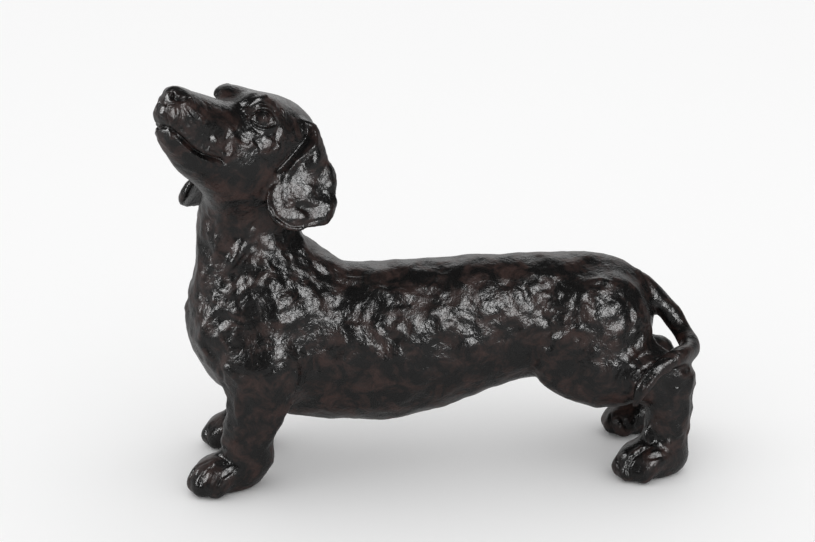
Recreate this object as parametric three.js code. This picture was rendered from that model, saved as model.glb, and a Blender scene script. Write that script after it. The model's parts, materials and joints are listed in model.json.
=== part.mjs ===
// A standing dachshund with a raised, turned head and a tail that curls round its left hock.
// It is one casting, modelled here as clay is: lumps are blended together, then tools cut into them.
// Millimetres, +Z up. The dog faces -X and its left side is towards -Y. The origin is on the ground, at the
// centre of the figure's bounding box.
import * as THREE from "three";
import { triTable } from "three/addons/objects/MarchingCubes.js";

// Driving dimensions, in millimetres.
const FIGURE_LENGTH = 500; // the length that the shares below are shares of
const EAR_THICKNESS = 9;
const EYE_RADIUS = 9;
const NOSTRIL_RADIUS = 3;
const MOUTH_GROOVE_RADIUS = 4;
const TOE_RADIUS = 11;
const TAIL_TIP_RADIUS = 5.5;
const DAB_SPACING = 25; // from one thumb mark to the next
const DAB_DEPTH = 2.6;

// The clay's grid, and how many triangles are left of its skin.
const GRID_CELL = 2.5;
const TRIANGLES = 9800;

// The head's pose: turned to its left, raised and a little tipped over.
const HEAD_YAW = THREE.MathUtils.degToRad(43);
const HEAD_PITCH = THREE.MathUtils.degToRad(25);
const HEAD_ROLL = THREE.MathUtils.degToRad(-3);

// Places, radii and blends below are shares of the length: 1 is a five-hundredth of it.
const SHARE = FIGURE_LENGTH / 500;
const BLEND_TIGHT = 3;
const BLEND_FIRM = 9;
const BLEND_SOFT = 18;
const BLEND_BROAD = 34;

const point = (x, y, z) => new THREE.Vector3(x, y, z).multiplyScalar(SHARE);

// Which side of the dog: its left is towards -Y.
const LEFT = -1;
const RIGHT = 1;

// A form has a box that holds it and a signed distance, which is negative inside.
function form(low, high, distance) {
  return { box: new THREE.Box3(low, high), distance };
}

// An ellipsoid whose radii lie along X, Y and Z.
function ellipsoid(centre, radii) {
  const [a, b, c] = radii.map((r) => r * SHARE);
  const reach = new THREE.Vector3(a, b, c);
  return form(centre.clone().sub(reach), centre.clone().add(reach), (x, y, z) => {
    const u = (x - centre.x) / a;
    const v = (y - centre.y) / b;
    const w = (z - centre.z) / c;
    const near = Math.hypot(u, v, w);
    const slope = Math.hypot(u / a, v / b, w / c);
    return slope > 0 ? (near * (near - 1)) / slope : -Math.min(a, b, c);
  });
}

// A form that is modelled in a frame of its own, such as the head's, put where that frame is.
function placed(shape, frame) {
  const back = frame.clone().invert().elements;
  const box = shape.box.clone().applyMatrix4(frame);
  return form(box.min, box.max, (x, y, z) => shape.distance(
    back[0] * x + back[4] * y + back[8] * z + back[12],
    back[1] * x + back[5] * y + back[9] * z + back[13],
    back[2] * x + back[6] * y + back[10] * z + back[14],
  ));
}

// A rounded limb along a smooth curve through [centre, radius] stations. Across, along Y, its section is
// breadth times its radius.
function limb(stations, breadth = 1, steps = 5) {
  const curve = new THREE.CatmullRomCurve3(stations.map(([centre]) => centre), false, "centripetal");
  const spans = (stations.length - 1) * steps;
  const box = new THREE.Box3();
  const at = Array.from({ length: spans + 1 }, (_, i) => {
    const along = i / steps;
    const first = Math.min(Math.floor(along), stations.length - 2);
    const radius = SHARE * THREE.MathUtils.lerp(stations[first][1], stations[first + 1][1], along - first);
    const centre = curve.getPoint(i / spans);
    box.expandByPoint(centre.clone().subScalar(radius));
    box.expandByPoint(centre.clone().addScalar(radius));
    return { centre, radius };
  });
  return form(box.min, box.max, (x, y, z) => {
    let nearest = Infinity;
    for (let i = 0; i < spans; i++) {
      const { centre: a, radius: ra } = at[i];
      const { centre: b, radius: rb } = at[i + 1];
      const ux = b.x - a.x;
      const uy = (b.y - a.y) / breadth;
      const uz = b.z - a.z;
      const vx = x - a.x;
      const vy = (y - a.y) / breadth;
      const vz = z - a.z;
      const share = (ux * vx + uy * vy + uz * vz) / (ux * ux + uy * uy + uz * uz);
      const s = Math.min(1, Math.max(0, share));
      const gap = Math.hypot(vx - s * ux, vy - s * uy, vz - s * uz) - ra - s * (rb - ra);
      nearest = Math.min(nearest, gap);
    }
    return nearest * Math.min(1, breadth);
  });
}

// A trunk along X through [x, top, bottom, half-width] stations, with elliptical sections.
function trunk(stations) {
  const first = stations[0][0] * SHARE;
  const last = stations.at(-1)[0] * SHARE;
  const count = 200;
  const table = [1, 2, 3].map((column) => {
    const curve = new THREE.SplineCurve(
      stations.map((s) => new THREE.Vector2(s[0] * SHARE, s[column] * SHARE)));
    const line = curve.getPoints(count * 4);
    let k = 0;
    return Array.from({ length: count + 1 }, (_, i) => {
      const x = first + ((last - first) * i) / count;
      while (k < line.length - 2 && line[k + 1].x < x) k++;
      const t = (x - line[k].x) / Math.max(1e-6, line[k + 1].x - line[k].x);
      return THREE.MathUtils.lerp(line[k].y, line[k + 1].y, t);
    });
  });
  const value = (column, x) => {
    const along = ((Math.min(Math.max(x, first), last) - first) / (last - first)) * count;
    const low = Math.min(Math.floor(along), count - 1);
    return THREE.MathUtils.lerp(table[column][low], table[column][low + 1], along - low);
  };
  const wide = Math.max(...table[2]);
  const low = new THREE.Vector3(first, -wide, Math.min(...table[1]));
  const high = new THREE.Vector3(last, wide, Math.max(...table[0]));
  return form(low, high, (x, y, z) => {
    const top = value(0, x);
    const bottom = value(1, x);
    const half = Math.max(value(2, x), 1);
    const tall = Math.max((top - bottom) / 2, 1);
    const u = y / half;
    const v = (z - (top + bottom) / 2) / tall;
    const near = Math.hypot(u, v);
    const slope = Math.hypot(u / half, v / tall);
    const round = slope > 0 ? (near * (near - 1)) / slope : -Math.min(half, tall);
    const beyond = Math.max(first - x, x - last);
    return beyond > 0 ? Math.hypot(Math.max(round, 0), beyond) : round;
  });
}

// A leaf of even thickness, such as an ear. Its [down, across, half-width] stations are in its own frame,
// whose axes run down its length, across it and out of its face. Its edges bend back by cup.
function leaf(base, down, across, stations, thickness, cup) {
  const along = down.clone().normalize();
  const out = new THREE.Vector3().crossVectors(along, across).normalize();
  const side = new THREE.Vector3().crossVectors(out, along);
  const discs = stations.map((station) => station.map((size) => size * SHARE));
  const reach = Math.max(...discs.map(([d, a, r]) => Math.hypot(d, a) + r)) + thickness;
  const rim = thickness * 0.35;
  return form(base.clone().subScalar(reach), base.clone().addScalar(reach), (x, y, z) => {
    const px = x - base.x;
    const py = y - base.y;
    const pz = z - base.z;
    const d = px * along.x + py * along.y + pz * along.z;
    const a = px * side.x + py * side.y + pz * side.z;
    const n = px * out.x + py * out.y + pz * out.z;
    let outline = Infinity;
    let middle = 0;
    for (let i = 0; i < discs.length - 1; i++) {
      const [d0, a0, r0] = discs[i];
      const [d1, a1, r1] = discs[i + 1];
      const ud = d1 - d0;
      const ua = a1 - a0;
      const s = Math.min(1, Math.max(0, ((d - d0) * ud + (a - a0) * ua) / (ud * ud + ua * ua)));
      const gap = Math.hypot(d - d0 - s * ud, a - a0 - s * ua) - r0 - s * (r1 - r0);
      if (gap < outline) {
        outline = gap;
        middle = a0 + s * ua;
      }
    }
    const bend = cup * SHARE * ((a - middle) / (30 * SHARE)) ** 2;
    const edge = outline + rim;
    const face = Math.abs(n + bend) - thickness / 2 + rim;
    return Math.hypot(Math.max(edge, 0), Math.max(face, 0)) + Math.min(Math.max(edge, face), 0) - rim;
  });
}

// A block of clay: a grid of signed distances that forms are blended into or cut out of.
class Clay {
  constructor(low, high, cell) {
    this.cell = cell;
    this.low = low;
    this.box = new THREE.Box3(low, high);
    this.size = ["x", "y", "z"].map((k) => Math.ceil((high[k] - low[k]) / cell) + 1);
    this.values = new Float32Array(this.size[0] * this.size[1] * this.size[2]).fill(1e3);
  }

  // Gives each grid point within a margin of a box the value that change(value, x, y, z) returns.
  shape(box, margin, change) {
    const range = ["x", "y", "z"].map((k, axis) => [
      Math.max(0, Math.floor((box.min[k] - margin - this.low[k]) / this.cell)),
      Math.min(this.size[axis] - 1, Math.ceil((box.max[k] + margin - this.low[k]) / this.cell)),
    ]);
    for (let k = range[2][0]; k <= range[2][1]; k++) {
      for (let j = range[1][0]; j <= range[1][1]; j++) {
        for (let i = range[0][0]; i <= range[0][1]; i++) {
          const at = i + this.size[0] * (j + this.size[1] * k);
          this.values[at] = change(this.values[at], this.low.x + i * this.cell,
            this.low.y + j * this.cell, this.low.z + k * this.cell);
        }
      }
    }
  }

  // Blends a form on. The joint is rounded over about the blend.
  add(added, blend) {
    const round = blend * SHARE;
    this.shape(added.box, round + 2 * this.cell, (old, x, y, z) => {
      const d = added.distance(x, y, z);
      const h = Math.max(round - Math.abs(old - d), 0);
      return Math.min(old, d) - (h * h) / (4 * round);
    });
  }

  // Cuts a form away. The cut's edges are rounded over about the blend.
  cut(tool, blend) {
    const round = blend * SHARE;
    this.shape(tool.box, round + 2 * this.cell, (old, x, y, z) => {
      const d = -tool.distance(x, y, z);
      const h = Math.max(round - Math.abs(old - d), 0);
      return Math.max(old, d) + (h * h) / (4 * round);
    });
  }

  // The clay's signed distance at a place.
  at(place) {
    const [i, j, k] = ["x", "y", "z"].map((axis) => (place[axis] - this.low[axis]) / this.cell);
    const [i0, j0, k0] = [i, j, k].map(Math.floor);
    const [nx, ny] = this.size;
    let value = 0;
    for (let corner = 0; corner < 8; corner++) {
      const [ci, cj, ck] = [i0 + (corner & 1), j0 + ((corner >> 1) & 1), k0 + (corner >> 2)];
      const weight = (1 - Math.abs(i - ci)) * (1 - Math.abs(j - cj)) * (1 - Math.abs(k - ck));
      value += weight * this.values[ci + nx * (cj + ny * ck)];
    }
    return value;
  }

  // The way in which the signed distance grows fastest: out of the skin.
  slope(place) {
    const h = 0.25 * this.cell;
    return new THREE.Vector3(...[0, 1, 2].map((axis) => {
      const step = new THREE.Vector3().setComponent(axis, h);
      return (this.at(place.clone().add(step)) - this.at(place.clone().sub(step))) / (2 * h);
    }));
  }

  // The place on the skin that a finger meets when it comes towards a place in the clay from a direction.
  touch(place, from) {
    const step = from.clone().normalize().multiplyScalar(0.25 * this.cell);
    const finger = place.clone();
    for (let n = 0; n < 400 && this.at(finger) < 0; n++) finger.add(step);
    return finger;
  }

  // A groove drawn in the skin with a round tool that is held a share of its radius out of the clay.
  groove(touches, blend, held = 0.5) {
    this.cut(limb(touches.map(([place, from, radius]) => {
      const skin = this.touch(place, from);
      return [skin.addScaledVector(this.slope(skin).normalize(), radius * held * SHARE), radius];
    })), blend);
  }

  // The skin as shared vertices and triangles, by marching cubes.
  skin() {
    const [nx, ny, nz] = this.size;
    const corners = [[0, 0, 0], [1, 0, 0], [1, 1, 0], [0, 1, 0], [0, 0, 1], [1, 0, 1], [1, 1, 1], [0, 1, 1]];
    const edges = [
      [0, 1], [1, 2], [3, 2], [0, 3], [4, 5], [5, 6], [7, 6], [4, 7], [0, 4], [1, 5], [2, 6], [3, 7],
    ];
    const step = corners.map(([i, j, k]) => i + nx * (j + ny * k));
    const axisOf = edges.map(([a, b]) => [0, 1, 2].find((k) => corners[a][k] !== corners[b][k]));
    const made = new Map();
    const positions = [];
    const triangles = [];
    const vertex = (cell, place, edge) => {
      const [a, b] = edges[edge];
      const key = 3 * (cell + step[a]) + axisOf[edge];
      if (!made.has(key)) {
        const value = this.values[cell + step[a]];
        const crossing = value / (value - this.values[cell + step[b]]);
        const t = THREE.MathUtils.clamp(crossing, 0.02, 0.98);
        const at = place.map((n, axis) => n + corners[a][axis] + (axisOf[edge] === axis ? t : 0));
        made.set(key, positions.length);
        positions.push(new THREE.Vector3(...at).multiplyScalar(this.cell).add(this.low));
      }
      return made.get(key);
    };
    for (let k = 0; k < nz - 1; k++) {
      for (let j = 0; j < ny - 1; j++) {
        for (let i = 0; i < nx - 1; i++) {
          const cell = i + nx * (j + ny * k);
          const inside = step.reduce((bits, s, c) => bits | (this.values[cell + s] < 0 ? 1 << c : 0), 0);
          for (let t = inside * 16; triTable[t] >= 0; t += 3) {
            triangles.push([2, 1, 0].map((n) => vertex(cell, [i, j, k], triTable[t + n])));
          }
        }
      }
    }
    return { positions, triangles };
  }
}

// The largest closed shell of a skin, without bubbles inside the clay.
function outerShell({ positions, triangles }) {
  const root = positions.map((_, v) => v);
  const find = (v) => {
    while (root[v] !== v) {
      root[v] = root[root[v]];
      v = root[v];
    }
    return v;
  };
  for (const [a, b, c] of triangles) {
    root[find(a)] = find(b);
    root[find(b)] = find(c);
  }
  const sizes = new Map();
  for (const [a] of triangles) sizes.set(find(a), (sizes.get(find(a)) ?? 0) + 1);
  const largest = [...sizes].reduce((best, entry) => (entry[1] > best[1] ? entry : best))[0];
  const kept = triangles.filter(([a]) => find(a) === largest);
  const renumbered = new Map();
  for (const v of kept.flat()) if (!renumbered.has(v)) renumbered.set(v, renumbered.size);
  return {
    positions: [...renumbered.keys()].map((v) => positions[v]),
    triangles: kept.map((triangle) => triangle.map((v) => renumbered.get(v))),
  };
}

// Evens out the triangles of a clay's skin. The vertices stay on the skin, but for a last light smoothing.
function relax({ positions, triangles }, clay, passes) {
  const around = positions.map(() => new Set());
  for (const [a, b, c] of triangles) {
    around[a].add(b).add(c);
    around[b].add(c).add(a);
    around[c].add(a).add(b);
  }
  for (let pass = 0; pass < passes; pass++) {
    const moved = positions.map((p, v) => {
      const slide = new THREE.Vector3();
      for (const n of around[v]) slide.add(positions[n]);
      slide.divideScalar(around[v].size).sub(p).multiplyScalar(0.5);
      const normal = clay.slope(p).normalize();
      return slide.addScaledVector(normal, -slide.dot(normal)).add(p);
    });
    for (const p of moved) {
      const slope = clay.slope(p);
      p.addScaledVector(slope, -clay.at(p) / Math.max(slope.lengthSq(), 0.5));
    }
    moved.forEach((p, v) => (positions[v] = p));
  }
  for (const share of [0.5, 0.5]) {
    const middles = positions.map((_, v) => [...around[v]].reduce((sum, n) => sum.add(positions[n]),
      new THREE.Vector3()).divideScalar(around[v].size));
    positions.forEach((p, v) => p.z > 0 && p.lerp(middles[v], share));
  }
  return { positions, triangles };
}

// Sheds the edges that matter least until about count triangles are left. An edge matters by how far its
// removal moves the skin off the planes round it, times the care that the place deserves.
function thin({ positions, triangles }, count, care) {
  const around = positions.map(() => new Set());
  triangles.forEach((triangle, t) => triangle.forEach((v) => around[v].add(t)));
  const planes = positions.map(() => new Float64Array(10));
  const normalOf = (a, b, c) => b.clone().sub(a).cross(c.clone().sub(a));
  for (const triangle of triangles) {
    const [a, b, c] = triangle.map((v) => positions[v]);
    const normal = normalOf(a, b, c);
    const area = normal.length();
    normal.divideScalar(area || 1);
    const p = [normal.x, normal.y, normal.z, -normal.dot(a)];
    let n = 0;
    const parts = [];
    for (let i = 0; i < 4; i++) for (let j = i; j < 4; j++) parts[n++] = p[i] * p[j] * area;
    for (const v of triangle) parts.forEach((part, i) => (planes[v][i] += part));
  }
  const off = (q, p) =>
    q[0] * p.x * p.x + 2 * q[1] * p.x * p.y + 2 * q[2] * p.x * p.z + 2 * q[3] * p.x +
    q[4] * p.y * p.y + 2 * q[5] * p.y * p.z + 2 * q[6] * p.y + q[7] * p.z * p.z + 2 * q[8] * p.z + q[9];
  const versions = new Int32Array(positions.length);
  const heap = [];
  const swap = (i, j) => ([heap[i], heap[j]] = [heap[j], heap[i]]);
  const push = (entry) => {
    let i = heap.push(entry) - 1;
    for (let up = (i - 1) >> 1; i > 0 && heap[up].cost > heap[i].cost; up = (i - 1) >> 1) {
      swap(i, up);
      i = up;
    }
  };
  const pop = () => {
    const least = heap[0];
    const last = heap.pop();
    if (heap.length) heap[0] = last;
    for (let i = 0; ;) {
      let low = i;
      for (const down of [2 * i + 1, 2 * i + 2]) {
        if (down < heap.length && heap[down].cost < heap[low].cost) low = down;
      }
      if (low === i) return least;
      swap(i, low);
      i = low;
    }
  };
  const offer = (a, b) => {
    const q = planes[a].map((part, i) => part + planes[b][i]);
    const ends = [positions[a], positions[b], positions[a].clone().lerp(positions[b], 0.5)];
    const slopes = new THREE.Matrix3().set(q[0], q[1], q[2], q[1], q[4], q[5], q[2], q[5], q[7]);
    const size = (q[0] + q[4] + q[7]) / 3;
    if (Math.abs(slopes.determinant()) > 1e-4 * size ** 3) {
      const best = new THREE.Vector3(-q[3], -q[6], -q[8]).applyMatrix3(slopes.clone().invert());
      if (best.distanceTo(ends[2]) < 2 * ends[0].distanceTo(ends[1])) ends.push(best);
    }
    const target = ends.reduce((best, p) => (off(q, p) < off(q, best) ? p : best));
    const length = positions[a].distanceTo(positions[b]);
    const cost = (Math.max(off(q, target), 0) + 2e-4 * length ** 4) * care(target);
    push({ cost, a, b, target, versionA: versions[a], versionB: versions[b] });
  };
  const neighbours = (v) => {
    const found = new Set();
    for (const t of around[v]) for (const n of triangles[t]) if (n !== v) found.add(n);
    return found;
  };
  triangles.forEach(([a, b, c]) => [[a, b], [b, c], [c, a]].forEach(([p, q]) => p < q && offer(p, q)));
  const flips = (v, other, target) => [...around[v]].some((t) => {
    if (triangles[t].includes(other)) return false;
    const before = triangles[t].map((n) => positions[n]);
    const after = triangles[t].map((n) => (n === v ? target : positions[n]));
    const was = normalOf(...before);
    const is = normalOf(...after);
    const longest = (at) => Math.max(...at.map((p, i) => p.distanceToSquared(at[(i + 1) % 3])));
    const shape = (normal, at) => normal.length() / longest(at);
    const turned = was.length() > 1e-3 && was.dot(is) < 0.3 * was.length() * is.length();
    return turned || shape(is, after) < Math.min(0.1, 0.9 * shape(was, before));
  });
  let left = triangles.length;
  while (left > count && heap.length) {
    const { a, b, target, versionA, versionB } = pop();
    if (versions[a] !== versionA || versions[b] !== versionB) continue;
    const nearA = neighbours(a);
    const shared = [...neighbours(b)].filter((v) => nearA.has(v));
    if (shared.length !== 2 || flips(a, b, target) || flips(b, a, target)) continue;
    for (const t of around[b]) {
      if (triangles[t].includes(a)) {
        for (const v of triangles[t]) around[v].delete(t);
        triangles[t] = null;
        left--;
      } else {
        triangles[t] = triangles[t].map((v) => (v === b ? a : v));
        around[a].add(t);
      }
    }
    positions[a] = target;
    planes[b].forEach((part, i) => (planes[a][i] += part));
    versions[a]++;
    versions[b] = -1;
    for (const v of neighbours(a)) offer(a, v);
  }
  return { positions, triangles: triangles.filter((triangle) => triangle) };
}

// The head's own frame: x towards the nose, y to its left, z up, from the point midway between the eyes.
const HEAD = new THREE.Matrix4().compose(
  point(-177, -25, 358),
  new THREE.Quaternion().setFromEuler(new THREE.Euler(HEAD_ROLL, -HEAD_PITCH, Math.PI + HEAD_YAW, "ZYX")),
  new THREE.Vector3().setScalar(1),
);
const inHead = (x, y, z) => point(x, y, z).applyMatrix4(HEAD);
const headLump = (x, y, z, radii) => placed(ellipsoid(point(x, y, z), radii), HEAD);
const headLimb = (stations, breadth = 1) => placed(limb(stations, breadth), HEAD);

// A paw with four toes, in a frame of its own. heading turns it outwards from straight ahead.
function addPaw(clay, x, y, heading, side, length) {
  const frame = new THREE.Matrix4().makeRotationZ(Math.PI - side * heading).setPosition(point(x, y, 0));
  const inPaw = (forward, out, up) => point(forward, -side * out, up);
  clay.add(placed(ellipsoid(inPaw(-3, 0, 16), [length * 0.44, 21, 22]), frame), BLEND_FIRM);
  for (const [share, out] of [[0.27, -15.5], [0.39, -5.5], [0.38, 6], [0.24, 15.5]]) {
    const tip = length * share;
    clay.add(placed(limb([
      [inPaw(tip - 26, out * 0.7, 22), TOE_RADIUS],
      [inPaw(tip - 8, out * 0.95, 19), TOE_RADIUS],
      [inPaw(tip, out, 10), TOE_RADIUS * 0.92],
    ]), frame), BLEND_TIGHT / 2);
  }
}

// How much deeper than the mean skin the nearest thumb mark is at a place. The marks are strewn one to each
// cube of DAB_SPACING, and they fade out on the head and the paws, which are worked more finely.
function thumbed(x, y, z) {
  const spacing = DAB_SPACING * SHARE;
  const [i, j, k] = [x, y, z].map((v) => Math.floor(v / spacing));
  let nearest = Infinity;
  for (let di = -1; di <= 1; di++) {
    for (let dj = -1; dj <= 1; dj++) {
      for (let dk = -1; dk <= 1; dk++) {
        const [ci, cj, ck] = [i + di, j + dj, k + dk];
        const stray = [12.99, 78.23, 37.72].map((seed, axis) => {
          const noise = Math.sin(ci * seed + cj * (seed + 41.1 * axis + 3.7) + ck * (seed + 17.3)) * 43758.5;
          return noise - Math.floor(noise);
        });
        const apart = Math.hypot((ci + stray[0]) * spacing - x, (cj + stray[1]) * spacing - y,
          (ck + stray[2]) * spacing - z);
        nearest = Math.min(nearest, apart);
      }
    }
  }
  const offHead = THREE.MathUtils.smoothstep(Math.hypot(x - HEAD.elements[12], y - HEAD.elements[13],
    z - HEAD.elements[14]), 75 * SHARE, 115 * SHARE);
  const offPaws = THREE.MathUtils.smoothstep(z, 20 * SHARE, 55 * SHARE);
  return DAB_DEPTH * SHARE * offHead * offPaws * (Math.max(0, 1 - (nearest / (0.8 * spacing)) ** 2) - 0.4);
}

function buildClay() {
  const clay = new Clay(point(-258, -98, -12), point(270, 92, 396), GRID_CELL);

  // The trunk.
  clay.add(trunk([
    [-236, 165, 135, 14], [-226, 195, 108, 29], [-205, 214, 82, 41], [-172, 222, 65, 51],
    [-135, 218, 54, 55], [-100, 206, 49, 56], [-60, 203, 46, 57], [-20, 205, 51, 56], [20, 207, 62, 53],
    [60, 208, 77, 49], [95, 209, 85, 46], [130, 208, 80, 47], [160, 204, 78, 48], [185, 194, 88, 41],
    [199, 178, 104, 29], [206, 160, 122, 16],
  ]), BLEND_SOFT);
  clay.add(ellipsoid(point(-131, 0, 184), [41, 30, 36]), BLEND_SOFT);

  // The neck, from the withers to under the skull.
  clay.add(limb([
    [point(-168, 0, 165), 50], [point(-178, 0, 215), 49], [point(-177, 1, 258), 45],
    [point(-168, 5, 298), 39], [point(-152, 12, 318), 31],
  ], 0.86), BLEND_BROAD);

  for (const side of [LEFT, RIGHT]) {
    // A shoulder, an upper arm and a foreleg down to its wrist.
    const foreleg = side === LEFT ? 0 : 8;
    clay.add(ellipsoid(point(-166, side * 35, 150), [46, 27, 56]), BLEND_SOFT);
    clay.add(limb([
      [point(-204, side * 32, 145), 22], [point(-180, side * 42, 127), 30], [point(-158, side * 50, 116), 26],
    ], 0.8), BLEND_SOFT);
    clay.add(limb([
      [point(-170 + foreleg, side * 48, 120), 34], [point(-171 + foreleg, side * 50, 92), 31],
      [point(-181 + foreleg, side * 51, 58), 25], [point(-184 + foreleg, side * 50, 30), 23],
    ], 0.82), BLEND_FIRM);

    // The pad behind the wrist.
    clay.add(ellipsoid(point(-165 + foreleg, side * 50, 33), [7, 9, 12]), BLEND_TIGHT);

    // A haunch, a lower leg, and a hock down to the ground.
    const hock = side === LEFT ? 3 : 7;
    const drop = side === LEFT ? 0 : 14;
    const calf = side === LEFT ? 31 : 27;
    clay.add(ellipsoid(point(149, side * 34, 130), [51, 31, 63]), BLEND_SOFT);
    clay.add(ellipsoid(point(117, side * 36, 101), [22, 13, 20]), BLEND_SOFT);
    clay.add(limb([
      [point(150, side * 40, 102), 35], [point(190 + hock, side * 45, 101 - drop), calf],
      [point(215 + hock, side * 47, 94 - drop), 22.5],
    ], 0.8), BLEND_FIRM);
    clay.add(limb([
      [point(216 + hock, side * 47, 92 - drop), 22.5], [point(214 + hock, side * 48, 55), 23],
      [point(210 + hock, side * 48, 24), 22],
    ], 0.86), BLEND_FIRM);
  }

  addPaw(clay, -203, -49, THREE.MathUtils.degToRad(24), LEFT, 77);
  addPaw(clay, -195, 48, THREE.MathUtils.degToRad(12), RIGHT, 70);
  addPaw(clay, 203, -54, THREE.MathUtils.degToRad(18), LEFT, 80);
  addPaw(clay, 212, 47, THREE.MathUtils.degToRad(-6), RIGHT, 74);

  // The tail: down behind the rump, round the hock and forwards along the thigh.
  clay.add(limb([
    [point(176, 0, 181), 16], [point(198, -2, 172), 14], [point(219, -8, 153), 11.5],
    [point(234.5, -20, 133.5), 10], [point(235, -45, 123), 10], [point(218, -65, 125.5), 9.5],
    [point(199, -75, 117.5), 8.5], [point(186, -80, 105), 7.5], [point(179, -81, 92), 6.5],
    [point(177, -80, 84), TAIL_TIP_RADIUS],
  ]), BLEND_TIGHT * 1.5);

  // The skull, the cheeks, the muzzle and the jaw.
  clay.add(headLump(-36, 0, -8, [51, 36, 32.5]), BLEND_SOFT);
  for (const side of [LEFT, RIGHT]) {
    clay.add(headLump(-18, -side * 20, -28, [33, 18, 28]), BLEND_SOFT);
  }
  clay.add(headLimb([
    [point(-5, 0, -20), 28], [point(22, 0, -23), 26], [point(48, 0, -22), 23.5], [point(69, 0, -20), 20.5],
  ], 0.95), BLEND_FIRM);
  clay.add(headLimb([
    [point(-40, 0, -46), 32], [point(0, 0, -50), 29], [point(36, 0, -47), 25], [point(60, 0, -40), 19.5],
  ]), BLEND_SOFT);
  clay.add(limb([
    [inHead(0, 0, -48), 23], [inHead(-16, 0, -66), 24], [point(-178, 2, 265), 33],
  ], 0.9), BLEND_SOFT);
  for (const side of [LEFT, RIGHT]) {
    clay.add(headLump(72, -side * 7, -23, [17, 11, 15]), BLEND_FIRM);
    clay.add(headLump(0, -side * 18, 9, [19, 13, 11]), BLEND_FIRM * 1.5);
  }
  clay.add(headLump(79, 0, -10.5, [12.5, 16, 11.5]), BLEND_TIGHT);

  // The ears hang from the sides of the skull.
  const nearDown = new THREE.Vector3(-0.02, -0.35, -1);
  const nearAcross = new THREE.Vector3(0.93, 0.35, 0);
  clay.add(leaf(point(-123, -24, 334), nearDown, nearAcross, [
    [0, 2, 14], [26, 4, 21], [44, 6, 27], [63, -12, 24], [57, 9, 24],
  ], EAR_THICKNESS * SHARE, 6), BLEND_TIGHT * 2);
  const farDown = new THREE.Vector3(-0.5, 0.12, -0.87);
  const farAcross = new THREE.Vector3(0.68, 0.73, 0);
  clay.add(leaf(point(-176, 36, 338), farDown, farAcross, [
    [0, 2, 14], [26, 1, 21], [52, -5, 29], [79, -13, 26], [77, 10, 24],
  ], EAR_THICKNESS * SHARE, -6), BLEND_TIGHT * 2);

  // The eyes in their sockets, the mouth and the nostrils.
  for (const side of [LEFT, RIGHT]) {
    clay.cut(headLump(9, -side * 32, 0, [13, 9, 8.5]), BLEND_TIGHT);
    clay.add(headLump(0, -side * 24, 0, [EYE_RADIUS, EYE_RADIUS, EYE_RADIUS]), 1);
    const ahead = point(1, 0, 0).transformDirection(HEAD);
    const askew = point(1, -side * 0.8, 0).transformDirection(HEAD);
    const out = point(0, -side, 0).transformDirection(HEAD);
    clay.groove([
      [inHead(60, 0, -36), ahead, MOUTH_GROOVE_RADIUS * 0.75],
      [inHead(62, -side * 6, -37), askew, MOUTH_GROOVE_RADIUS * 0.75],
      [inHead(67, 0, -44), out, MOUTH_GROOVE_RADIUS],
      [inHead(50, 0, -50.5), out, MOUTH_GROOVE_RADIUS],
      [inHead(36, 0, -52), out, MOUTH_GROOVE_RADIUS],
      [inHead(23, 0, -54), out, MOUTH_GROOVE_RADIUS * 0.8],
    ], BLEND_TIGHT);
    clay.cut(headLump(89, -side * 6, -10, [NOSTRIL_RADIUS, NOSTRIL_RADIUS, NOSTRIL_RADIUS]), BLEND_TIGHT);
  }
  clay.shape(clay.box, 0, (old, x, y, z) => (Math.abs(old) < 12 * SHARE ? old + thumbed(x, y, z) : old));
  clay.shape(clay.box, 0, (old, x, y, z) => Math.max(old, -z));
  return clay;
}

// The face deserves the most care, the paws and the tail's tip more than the body.
function careAt(place) {
  const near = (spot, reach) => Math.exp(-((place.distanceTo(spot) / (reach * SHARE)) ** 2));
  const eyes = near(inHead(4, 26, 2), 15) + near(inHead(4, -26, 2), 15);
  const mouth = near(inHead(48, 21, -50), 26) + near(inHead(48, -21, -50), 26);
  const low = Math.exp(-((place.z / (30 * SHARE)) ** 2));
  return 1 + 20 * near(inHead(35, 0, -15), 62) + 80 * eyes + 10 * mouth + 6 * low;
}

// A faceted mesh with one set of vertices to a triangle, standing at the origin.
function facet({ positions, triangles }) {
  const box = new THREE.Box3().setFromPoints(positions);
  const foot = new THREE.Vector3((box.min.x + box.max.x) / 2, (box.min.y + box.max.y) / 2, 0);
  const corners = triangles.flatMap((triangle) => triangle.flatMap((v) => {
    const p = positions[v].clone().sub(foot);
    return [p.x, p.y, p.z < 0.05 * GRID_CELL ? 0 : p.z];
  }));
  const geometry = new THREE.BufferGeometry();
  geometry.setAttribute("position", new THREE.Float32BufferAttribute(corners, 3));
  geometry.computeVertexNormals();
  return geometry;
}

const bronze = new THREE.MeshStandardMaterial({
  name: "bronze",
  color: 0x2b2421,
  metalness: 0.6,
  roughness: 0.3,
});
const clay = buildClay();
const skin = relax(outerShell(clay.skin()), clay, 3);
const dachshund = new THREE.Mesh(facet(thin(skin, TRIANGLES, careAt)), bronze);
dachshund.name = "dachshund";
const figure = new THREE.Group();
figure.name = "dachshund_sculpture";
figure.add(dachshund);

export default figure;
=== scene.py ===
"""A standing dachshund cast in bronze, with a raised, turned head and a tail curled round its hock.

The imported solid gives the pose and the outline. Its skin is evened out here, refined where the work is
fine, and then modelled as clay is: thumb marks all over, folds and creases drawn with a tool, and the eyes,
nose, mouth, ears and toes. Lengths are in millimetres until the skin is handed back in metres.
"""

import json
import logging
import math
from dataclasses import dataclass, field
from enum import Enum
from itertools import chain

import bpy
import numpy as np
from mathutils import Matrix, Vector
from mathutils.bvhtree import BVHTree
from mathutils.kdtree import KDTree

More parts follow.
